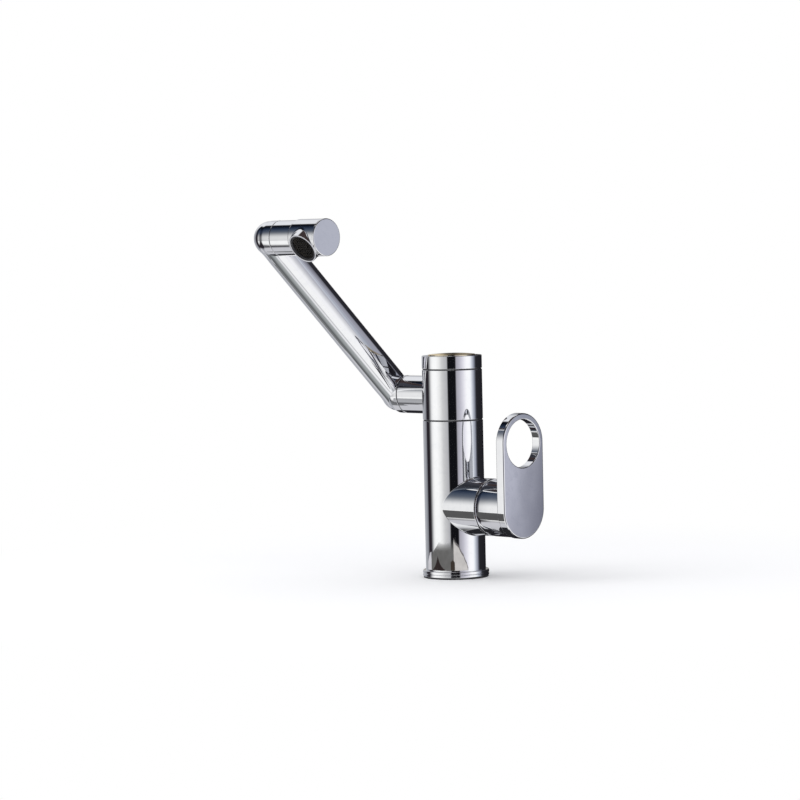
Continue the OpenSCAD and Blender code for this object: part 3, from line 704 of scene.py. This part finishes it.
# Tube whose ends swell to touch the balls inside its crossings, and whose side is planed flush with
# the collars' end faces where it passes them.
def makeArm(a, ends):
    s0, s1, r, ball = a["flareStart"], a["flareEnd"], a["radius"], a["ball"]
    r0 = math.sqrt(ball ** 2 - s0 ** 2)
    slope = -s0 / r0 * (s1 - s0)
    t = np.linspace(0, 1, a["flareParts"] + 1)
    ease = 3 * t ** 2 - 2 * t ** 3
    flare = (1 - ease) * r0 + (t ** 3 - 2 * t ** 2 + t) * slope + ease * r
    near = [(-a["endReach"], 0), (-a["endReach"], a["endRadius"], 0.3), (a["endReach"], r0 - 0.12)]
    near += zip(s0 + t * (s1 - s0), flare)
    outline = near + [(a["length"] - s, *more) for s, *more in near[::-1]]

    def planeSides(points, normals):
        local = points - elbowAt
        along, out = local @ armAxis, local[..., 0]
        limit = np.full(along.shape, np.inf)
        for place, e in zip((along, a["length"] - along), ends):
            f = np.clip((place - e["clear"]) / a["planeRun"], 0, 1)
            bound = e["end"] - a["planeDepth"] + (r + 0.3 - e["end"]) * f * f * (3 - 2 * f)
            limit = np.where(place < a["length"] / 2, bound, limit)
        over = out > limit
        points[..., 0] = np.where(over, elbowAt[0] + limit, points[..., 0])
        return points, np.where(over[..., None], axisX, normals)

    shells = [turned(outline, elbowAt, armAxis, reshape=planeSides)]
    t = np.linspace(0, 1, a["swellParts"] + 1)
    for e, middle in zip(ends, (elbowAt, headAt)):
        swell = [(e["swell"] * u, ball + (e["radius"] - ball) * u * u * (3 - 2 * u)) for u in t]
        shells.append(turned(arcCorners(0, ball, *a["ballArc"]) + swell
                             + [(e["end"], e["radius"], e["edge"]), (e["end"], e["bore"], 0.2),
                                (e["floor"], e["bore"], 0.2), (e["floor"], 0)], middle, axisX, count=224))
    makePiece("spoutArm", shells, "arm", "spout_arm")


makeArm(arm, armEnds)

union = {
    "back": 5.2, "start": 11.9, "end": 31.8, "radius": 13.3, "thread": 11.3, "bore": 8.55, "wideBore": 9.8,
    "boreStep": 16.5, "edge": 0.3,
}


def makeUnion(u):
    barrel = turned([(u["back"], u["wideBore"], 0.2), (u["back"], u["thread"], 0.3),
                     (u["start"], u["thread"], 0.1), (u["start"], u["radius"], u["edge"]),
                     (u["end"], u["radius"], u["edge"]), (u["end"], u["bore"], 0.2),
                     (u["boreStep"] + 0.1, u["bore"], 0.1), (u["boreStep"], u["wideBore"], 0.1)],
                    headAt, axisX, count=224, loop=True)
    makePiece("headUnion", [barrel], "arm", "head_union")


makeUnion(union)


# Outlet head

head = {
    "start": 32.6, "end": 57.88, "radius": 13.9, "edge": 0.4,
    "neck": 8.5, "neckBore": 5.0, "neckStart": 13.7, "neckEnd": 33.1,
    "mouthTilt": 55.0, "mouthBore": 11.03, "mouthRim": 14.1, "seat": 7.0, "throat": 7.0, "throatFloor": 1.0,
    "rimEdge": 0.2,
}
headWindow = {"radius": 13.9, "at": 45.3, "angle": 82.0, "start": 33.06, "end": 57.44, "width": 12.1,
              "blend": 0.9, "raised": True, "around": 72, "along": 26, "rest": 84}


def makeHead(h, w):
    tilt = math.radians(h["mouthTilt"])
    down = np.array([0.0, -math.sin(tilt), -math.cos(tilt)])
    tee = mouthedBarrel([(h["start"], 0), (h["start"], h["radius"], h["edge"]), (w["start"], h["radius"])],
                        [(w["end"], h["radius"]), (h["end"], h["radius"], h["edge"]), (h["end"], 0)], w,
                        [(h["mouthRim"], w["width"], h["rimEdge"]),
                         (h["mouthRim"], h["mouthBore"], h["rimEdge"]),
                         (h["seat"], h["mouthBore"], 0.15), (h["seat"], h["throat"], 0.15),
                         (h["throatFloor"], h["throat"], 0.2), (h["throatFloor"], 0)], headAt, axisX, down)
    neck = turned([(h["neckStart"], h["neckBore"], 0.2), (h["neckStart"], h["neck"], 0.3),
                   (h["neckEnd"], h["neck"], 0.1), (h["neckEnd"], h["neckBore"], 0.1)],
                  headAt, axisX, count=96, loop=True)
    makePiece("outletHead", [tee, neck], "head", "outlet_head")


makeHead(head, headWindow)

endDisc = {"start": 57.9, "end": 59.4, "radius": 13.9, "edge": 0.75}


def makeEndDisc(e):
    disc = turned([(e["start"], 0), (e["start"], e["radius"], 0.1), (e["end"], e["radius"], e["edge"]),
                   (e["end"], 0)], headAt, axisX, count=224)
    makePiece("endDisc", [disc], "head", "end_cap")


makeEndDisc(endDisc)
print("spout made")


# Lever

lever = {
    "height": 55.0, "hubStart": 40.5, "pivot": 47.0, "ballRadius": 21.8, "hubRadius": 21.767,
    "innerBall": 20.1, "innerRadius": 19.9, "hubFloor": 56.5, "hubEnd": 66.1, "screwFloor": 20.6,
    "plateBack": 64.6, "plateFront": 72.2, "plateRadius": 22.35, "plateTop": 104.9,
    "eyeHeight": 104.4, "eyeRadius": 18.2, "frontEdge": 1.3, "backEdge": 0.8, "eyeEdge": 0.8,
    "count": 336, "edgeParts": 8,
}
hubWindow = {"radius": 21.767, "at": 60.0, "angle": 15.0, "start": 56.0, "end": 64.0, "width": 3.03,
             "blend": 0.22, "raised": False, "around": 16, "along": 12, "rest": 240}


# Slot-shaped plate with a round eye. One grid runs round it: over the front edge, down the side, over
# the back edge, in to the eye, through it and back over the front face. A point of the outline is a
# point of the middle line plus its normal times the radius; its partner on the eye lies on the same ray.
def makePlate(p):
    r, low, high = p["plateRadius"], p["height"], p["plateTop"]
    straight, bend = high - low, math.pi * r
    d = np.linspace(0, 2 * (straight + bend), p["count"], endpoint=False)
    legs = [(d < straight), (d < straight + bend), (d < 2 * straight + bend)]
    turn = np.select(legs, [0 * d, (d - straight) / r, 0 * d + math.pi],
                     math.pi + (d - 2 * straight - bend) / r)
    line = np.select(legs, [low + d, 0 * d + high, high - (d - straight - bend)], 0 * d + low)
    normal = np.stack([0 * d, np.cos(turn), np.sin(turn)], 1)
    spine = np.stack([0 * d, 0 * d, line], 1)
    eye = np.array([0, 0, p["eyeHeight"]])
    ray = spine + r * normal - eye
    ray /= np.linalg.norm(ray, axis=1)[:, None]
    points, normals = [], []

    def edgeRows(x, reach, e, start, stop, inner=False):  # quarter turn between a face and a wall
        middle = x + (-e if x == front else e)
        for f in np.radians(np.linspace(start, stop, p["edgeParts"] + 1)):
            nx, ns = math.cos(f), math.sin(f)
            base = eye + (reach + e - e * ns) * ray if inner else spine + (reach - e + e * ns) * normal
            points.append(base + (middle + e * nx) * axisX)
            normals.append(nx * axisX + ns * (-ray if inner else normal))

    front, back = p["plateFront"], p["plateBack"]
    edgeRows(front, r, p["frontEdge"], 0, 90)
    edgeRows(back, r, p["backEdge"], 90, 180)
    edgeRows(back, p["eyeRadius"], p["eyeEdge"], 180, 90, inner=True)
    edgeRows(front, p["eyeRadius"], p["eyeEdge"], 90, 0, inner=True)
    return shellFromGrid(np.array(points), np.array(normals), loopRows=True)


def makeLever(p, w):
    rimOut, start = ballRim(p["ballRadius"], p["hubStart"] - p["pivot"])
    rimIn, back = ballRim(p["innerBall"], p["hubStart"] - p["pivot"])
    stop = 180 - math.degrees(math.asin(p["hubRadius"] / p["ballRadius"]))
    r = p["hubRadius"]
    hub = mouthedBarrel([(p["hubFloor"], 0), (p["hubFloor"], p["innerRadius"], 0.4)]
                        + arcCorners(p["pivot"], p["innerBall"], 98, back, 6)
                        + [(p["hubStart"], (rimIn + rimOut) / 2)]
                        + arcCorners(p["pivot"], p["ballRadius"], start, stop, 10) + [(w["start"], r)],
                        [(w["end"], r), (p["hubEnd"], r, 0.2), (p["hubEnd"], 0)], w,
                        [(p["screwFloor"], w["width"], 0.1), (p["screwFloor"], 0)],
                        (0, 0, p["height"]), axisX, -axisZ)
    makePiece("leverHandle", [makePlate(p), hub], "lever", "handle_lever")


makeLever(lever, hubWindow)
print("lever made")


# Studio

toCamera = view["azimuth"]  # the studio's angles are counted from here, to the right as the camera sees it

floorSettings = {"radius": 0.5, "fade": (0.2, 0.47), "colour": (0.93, 0.93, 0.93), "corners": 96}


def stagePiece(name, outline, height):
    mesh = bpy.data.meshes.new(name)
    mesh.from_pydata([(x, y, height) for x, y in outline], [], [list(range(len(outline)))])
    piece = addObject(name, mesh)
    material = bpy.data.materials.new(name)
    mesh.materials.append(material)
    return piece, emptyTree(material)


# Shows one shader instead of the other where the mask is 1.
def blendShaders(tree, mask, a, b):
    mixed = addNode(tree, "ShaderNodeMixShader", {0: mask, 1: a.outputs[0], 2: b.outputs[0]})
    addNode(tree, "ShaderNodeOutputMaterial", {0: mixed.outputs[0]})


# Pale floor with the soft shadow, plain white towards its border.
def makeFloor(f):
    t = np.linspace(0, 2 * np.pi, f["corners"], endpoint=False)
    floor, tree = stagePiece("floor", f["radius"] * np.column_stack([np.cos(t), np.sin(t)]), 0.0)
    fade = smoothStep(tree, measure(tree, "LENGTH", objectPlace(tree)), *f["fade"])
    matt = addNode(tree, "ShaderNodeBsdfDiffuse", {0: f["colour"]})
    blendShaders(tree, fade, matt, addNode(tree, "ShaderNodeEmission", {0: (1, 1, 1), 1: 1.0}))
    floor.visible_glossy = False


makeFloor(floorSettings)

# Sheets on the floor that only polished metal sees: name, outline in millimetres, height, colour, and the
# steepness in degrees between which they are seen.
sheets = [
    ("hubStrip", [(-178, -65), (15, -65), (15, -200), (-178, -200)], 0.4, (0.1, 0.1, 0.1), (8, 36)),
    ("stubStrip", [(-240, -84), (-170, -84), (-170, -124), (-240, -124)], 0.4, (0.15, 0.15, 0.16), (20, 44)),
    ("stubShade", [(-235, -124), (-175, -124), (-340, -327), (-410, -327)],
     0.4, (0.41, 0.415, 0.43), (13, 34)),
    ("armStrip", [(-254, -34), (-355, -109), (-228, -151), (-170, -57)], 0.1, (0.2, 0.205, 0.21), (20, 60)),
    # a dark sheet under the lever's hub: painted shade of the floor there, seen in the polished metal
    ("underHubShade", [(24, -30), (100, -30), (100, 30), (24, 30)], 0.4, (0.02, 0.02, 0.024), (25, 90)),
]
# The same for sheets that the column mirrors at its foot. Their far edge is given by level rays: how many
# degrees the ray leaves the column to the right, and how far it has gone.
raySheets = [
    ("edgeSheet", [(-134, 120), (-120, 190), (-108, 205)], 0.1, (0.66, 0.65, 0.68)),
    ("greySheet", [(-108, 150), (-100, 200), (-84, 240), (-68, 290), (-40, 275), (-8, 320)],
     0.1, (0.15, 0.147, 0.143)),
    ("paleRim", [(-8, 320), (12, 262), (30, 186), (42, 124), (48, 84)], 0.06, (0.16, 0.15, 0.15)),
    ("paleSheet", [(-8, 300), (12, 240), (30, 168), (42, 108), (47, 70)], 0.1, (0.6, 0.575, 0.555)),
    ("darkWedge", [(-100, 66), (-74, 175), (-42, 66)], 0.2, (0.035, 0.026, 0.026)),
    ("brownPatch", [(-20, 125), (-11, 146), (-4, 122)], 0.2, (0.05, 0.04, 0.032)),
]
raySettings = {"nearest": 62.0, "seen": (0, 8)}
fades = {"greySheet": (340, 230)}  # gone at the first distance from the column's axis, full at the second
sheetForm = {"edge": 0.02, "toneScale": 14.0, "tone": (0.75, 0.5)}  # tone: least, and the noise's share


# A ray leaves the column's side halfway between the way to the camera and its own way.
def rayOutline(rays):
    corners = rays + [(turn, raySettings["nearest"]) for turn, away in rays[::-1]]
    return [(away * direction(toCamera + turn) + column["radius"] * direction(toCamera + turn / 2))[:2]
            for turn, away in corners]


def makeSheet(name, outline, height, colour, seen):
    sheet, tree = stagePiece(name, np.array(outline) * mm, height * mm)
    slant = addNode(tree, "ShaderNodeLayerWeight", {0: 0.5}).outputs["Facing"]
    low, high = (1 - math.sin(math.radians(v)) for v in seen)
    edge, (least, share) = sheetForm["edge"], sheetForm["tone"]
    shown = calc(tree, "MULTIPLY", smoothStep(tree, slant, high - edge, high + edge),
                 smoothStep(tree, slant, low + edge, low - edge))
    place = objectPlace(tree)
    if name in fades:
        away = measure(tree, "LENGTH", place)
        shown = calc(tree, "MULTIPLY", shown, smoothStep(tree, away, *(d * mm for d in fades[name])))
    tone = calc(tree, "MULTIPLY_ADD", noise(tree, place, sheetForm["toneScale"], 2.0), share, least)
    glow = addNode(tree, "ShaderNodeEmission", {0: colour, 1: tone})
    blendShaders(tree, shown, addNode(tree, "ShaderNodeBsdfTransparent"), glow)
    sheet.visible_camera = sheet.visible_diffuse = sheet.visible_shadow = False


for sheet in sheets:
    makeSheet(*sheet)
for name, rays, height, colour in raySheets:
    makeSheet(name, rayOutline(rays), height, colour, raySettings["seen"])

studio = {
    # what polished metal sees round the level: degrees to the right, then red, green and blue
    "around": [
        (-180, 0.5, 0.51, 0.55), (-145, 0.41, 0.42, 0.45), (-134, 0.32, 0.33, 0.36),
        (-125, 0.23, 0.235, 0.26), (-120.5, 0.02, 0.015, 0.022), (-104.5, 0.025, 0.022, 0.026),
        (-99, 0.24, 0.24, 0.25), (-94, 0.53, 0.53, 0.53), (-88.5, 0.86, 0.86, 0.86),
        (-83, 0.99, 0.99, 0.98), (-78, 1.05, 1.05, 1.04), (-64, 1.05, 1.05, 1.04), (-51, 0.9, 0.9, 0.89),
        (-39, 0.66, 0.66, 0.66), (-27, 0.54, 0.54, 0.55), (-20, 0.48, 0.48, 0.5),
        (-16.5, 0.006, 0.006, 0.008), (12.5, 0.006, 0.006, 0.008), (16.5, 0.42, 0.41, 0.46),
        (22.5, 0.48, 0.47, 0.53), (30, 0.57, 0.56, 0.63), (46, 0.86, 0.85, 0.91), (50, 0.95, 0.94, 0.98),
        (58, 1.05, 1.05, 1.07), (70, 1.05, 1.05, 1.07), (74.5, 0.98, 1.0, 1.03), (79, 0.8, 0.83, 0.89),
        (84, 0.57, 0.6, 0.67), (94, 0.24, 0.26, 0.32), (99, 0.1, 0.105, 0.13), (104, 0.02, 0.02, 0.024),
        (180, 0.01, 0.009, 0.013)],
    # the same higher up, and the height in degrees between which it takes over
    "above": [
        (-180, 0.2, 0.21, 0.24), (-168, 0.8, 0.81, 0.84), (-140, 0.84, 0.85, 0.88),
        (-133, 0.004, 0.005, 0.01), (-124, 0.005, 0.006, 0.01), (-116, 0.01, 0.016, 0.032),
        (-108, 0.028, 0.042, 0.075), (-102, 0.06, 0.078, 0.115), (-96, 0.1, 0.118, 0.155),
        (-88, 0.16, 0.18, 0.215), (-60, 0.05, 0.055, 0.07), (-20, 0.03, 0.032, 0.04),
        (20, 0.05, 0.052, 0.065), (60, 0.09, 0.095, 0.12), (100, 0.03, 0.03, 0.04),
        (180, 0.04, 0.04, 0.05)],
    "aboveFrom": (4, 33),
    "spots": {"leftSpot": (-120, 78), "rightSpot": (56, 63)},  # degrees to the right, degrees up
    "slopes": {"tilted": -0.15, "leaning": 0.82},  # degrees to the right per degree up
    "fall": (-2, -46),  # height in degrees where it starts and ends
    "diffuse": (0.97, 0.975, 1.0), "diffuseStrength": 0.92,
}

# Patches laid over the bands, one after another. The first list says where: each step is a value and the
# two places between which the patch comes in. Then the colour, and for some a step to a next colour.
patches = [
    ([("rise", 54, 62)], (0.95, 0.95, 0.96)),  # softbox overhead
    ([("leftSpot", 0.9135, 0.9659)], (0.05, 0.035, 0.035)),
    ([("rightSpot", 0.8829, 0.9397)], (0.05, 0.035, 0.035)),
    ([("rise", -8, -13), ("side", -103, -95), ("side", -40, -60)], (1.0, 1.0, 0.99)),  # left, low
    ([("rise", -34, -39), ("side", -170, -160), ("side", -93, -103)], (0.6, 0.6, 0.63)),
    ([("rise", -6.3, -8.5), ("side", 46, 70), ("side", 122, 98)],  # right, low
     (0.37, 0.375, 0.44), ("fall", (1.0, 1.0, 1.0))),
    ([("side", 83, 89), ("side", 120.5, 114.5), ("rise", -2.1, -0.9), ("rise", 14.6, 13.4)],
     (0.36, 0.365, 0.43), ("side", 90, 116, (0.13, 0.13, 0.155))),
    # the lever's plate, and the end disc
    ([("side", 92.3, 93.5), ("side", 96.4, 95.2), ("rise", -7.3, -6.3), ("rise", -2.9, -3.9)],
     (0.5, 0.51, 0.6), ("tilted", 94.45, 95.6, (0.15, 0.155, 0.2))),
    ([("side", 88.9, 89.9), ("side", 92.5, 91.5), ("rise", -1.9, -0.9), ("rise", 2.0, 1.0)],
     (0.475, 0.49, 0.57)),
    # the ground, with a thin line and part of a ring
    ([("rise", -44, -56)], (0.38, 0.4, 0.4), ("side", -72, -15, (0.88, 0.88, 0.9))),
    ([("rise", -40, -50), ("side", -25, 15), ("side", 90, 50)], (1.0, 1.0, 1.0)),
    ([("rise", -77.5, -74.5), ("rise", -69.5, -72.5), ("side", -20, -4), ("side", 38, 22)],
     (0.62, 0.62, 0.63)),
    ([("rise", -49, -53), ("rise", -77, -57), ("side", -170, -150), ("side", -82, -102)],
     (0.115, 0.12, 0.125)),
    # the far wall, for the inlay
    ([("front", -0.95, -0.985), ("rise", 1, 5), ("rise", 28, 24)], (0.88, 0.86, 0.83),
     ("right", -0.018, -0.004, (0.06, 0.06, 0.06)), ("right", 0.002, 0.012, (0.34, 0.33, 0.32))),
    ([("leaning", -187, -191), ("rise", -6, -11)], (0.016, 0.015, 0.02)),  # behind, low
]


# World: white to the camera, even light to matt surfaces, and bands of light and dark to polished ones.
def makeWorld(s):
    world = bpy.context.scene.world = bpy.data.worlds.new("studio")
    tree = emptyTree(world)
    way = addNode(tree, "ShaderNodeTexCoord").outputs["Generated"]
    values = {"front": direction(toCamera), "right": direction(toCamera + 90)}
    values.update((name, direction(toCamera + turn, rise)) for name, (turn, rise) in s["spots"].items())
    for name, towards in values.items():
        values[name] = measure(tree, "DOT_PRODUCT", way, tuple(towards))
    turn = calc(tree, "ARCTAN2", values["right"], values["front"])
    up = addNode(tree, "ShaderNodeSeparateXYZ", {0: way}).outputs[2]
    side = values["side"] = calc(tree, "DEGREES", turn)  # to the right
    rise = values["rise"] = calc(tree, "DEGREES", calc(tree, "ARCSINE", up))
    for name, slope in s["slopes"].items():
        values[name] = calc(tree, "MULTIPLY_ADD", rise, slope, side)
    values["fall"] = addNode(tree, "ShaderNodeMapRange", dict(enumerate((rise, *s["fall"])))).outputs[0]
    circle, bands = calc(tree, "MULTIPLY_ADD", turn, 1 / (2 * math.pi), 0.5), []
    for key in ("around", "above"):
        node = addNode(tree, "ShaderNodeValToRGB", {0: circle})
        elements = node.color_ramp.elements
        elements.remove(elements[-1])
        for i, (degrees, *colour) in enumerate(s[key]):
            at = (degrees + 180) / 360
            element = elements[0] if i == 0 else elements.new(at)
            element.position, element.color = at, (*colour, 1)
        bands.append(node.outputs[0])

    def step(name, *limits):
        return smoothStep(tree, values[name], *limits) if limits else values[name]

    seenColour = mixColours(tree, step("rise", *s["aboveFrom"]), *bands)
    for where, colour, *more in patches:
        mask = step(*where[0])
        for other in where[1:]:
            mask = calc(tree, "MULTIPLY", mask, step(*other))
        for *change, nextColour in more:
            colour = mixColours(tree, step(*change), colour, nextColour)
        seenColour = mixColours(tree, mask, seenColour, colour)
    rays = addNode(tree, "ShaderNodeLightPath").outputs
    polished = calc(tree, "MAXIMUM", rays["Is Glossy Ray"], rays["Is Transmission Ray"])
    plain, shiny, white = (
        addNode(tree, "ShaderNodeBackground", {0: colour, 1: strength}).outputs[0] for colour, strength in
        ((s["diffuse"], s["diffuseStrength"]), (seenColour, 1.0), ((1, 1, 1), 1.0)))
    lit = addNode(tree, "ShaderNodeMixShader", {0: polished, 1: plain, 2: shiny}).outputs[0]
    seen = addNode(tree, "ShaderNodeMixShader", {0: rays["Is Camera Ray"], 1: lit, 2: white}).outputs[0]
    addNode(tree, "ShaderNodeOutputWorld", {0: seen})


makeWorld(studio)

# Name, place and size in metres, power in watts.
lamps = [("keyLamp", (-0.9, -1.1, 1.6), 1.2, 9.0), ("fillLamp", (1.4, -0.5, 1.0), 1.4, 4.0)]


def makeLamp(name, place, size, power):
    data = bpy.data.lights.new(name, "AREA")
    data.size, data.energy = size, power
    lamp = addObject(name, data)
    back = np.array(place) - view["aimHeight"] * axisZ
    putAt(lamp, axesFacing(back / np.linalg.norm(back)), place)
    lamp.visible_glossy = lamp.visible_camera = False


for lamp in lamps:
    makeLamp(*lamp)
bpy.context.scene.view_settings.view_transform = "Standard"
print("studio made")
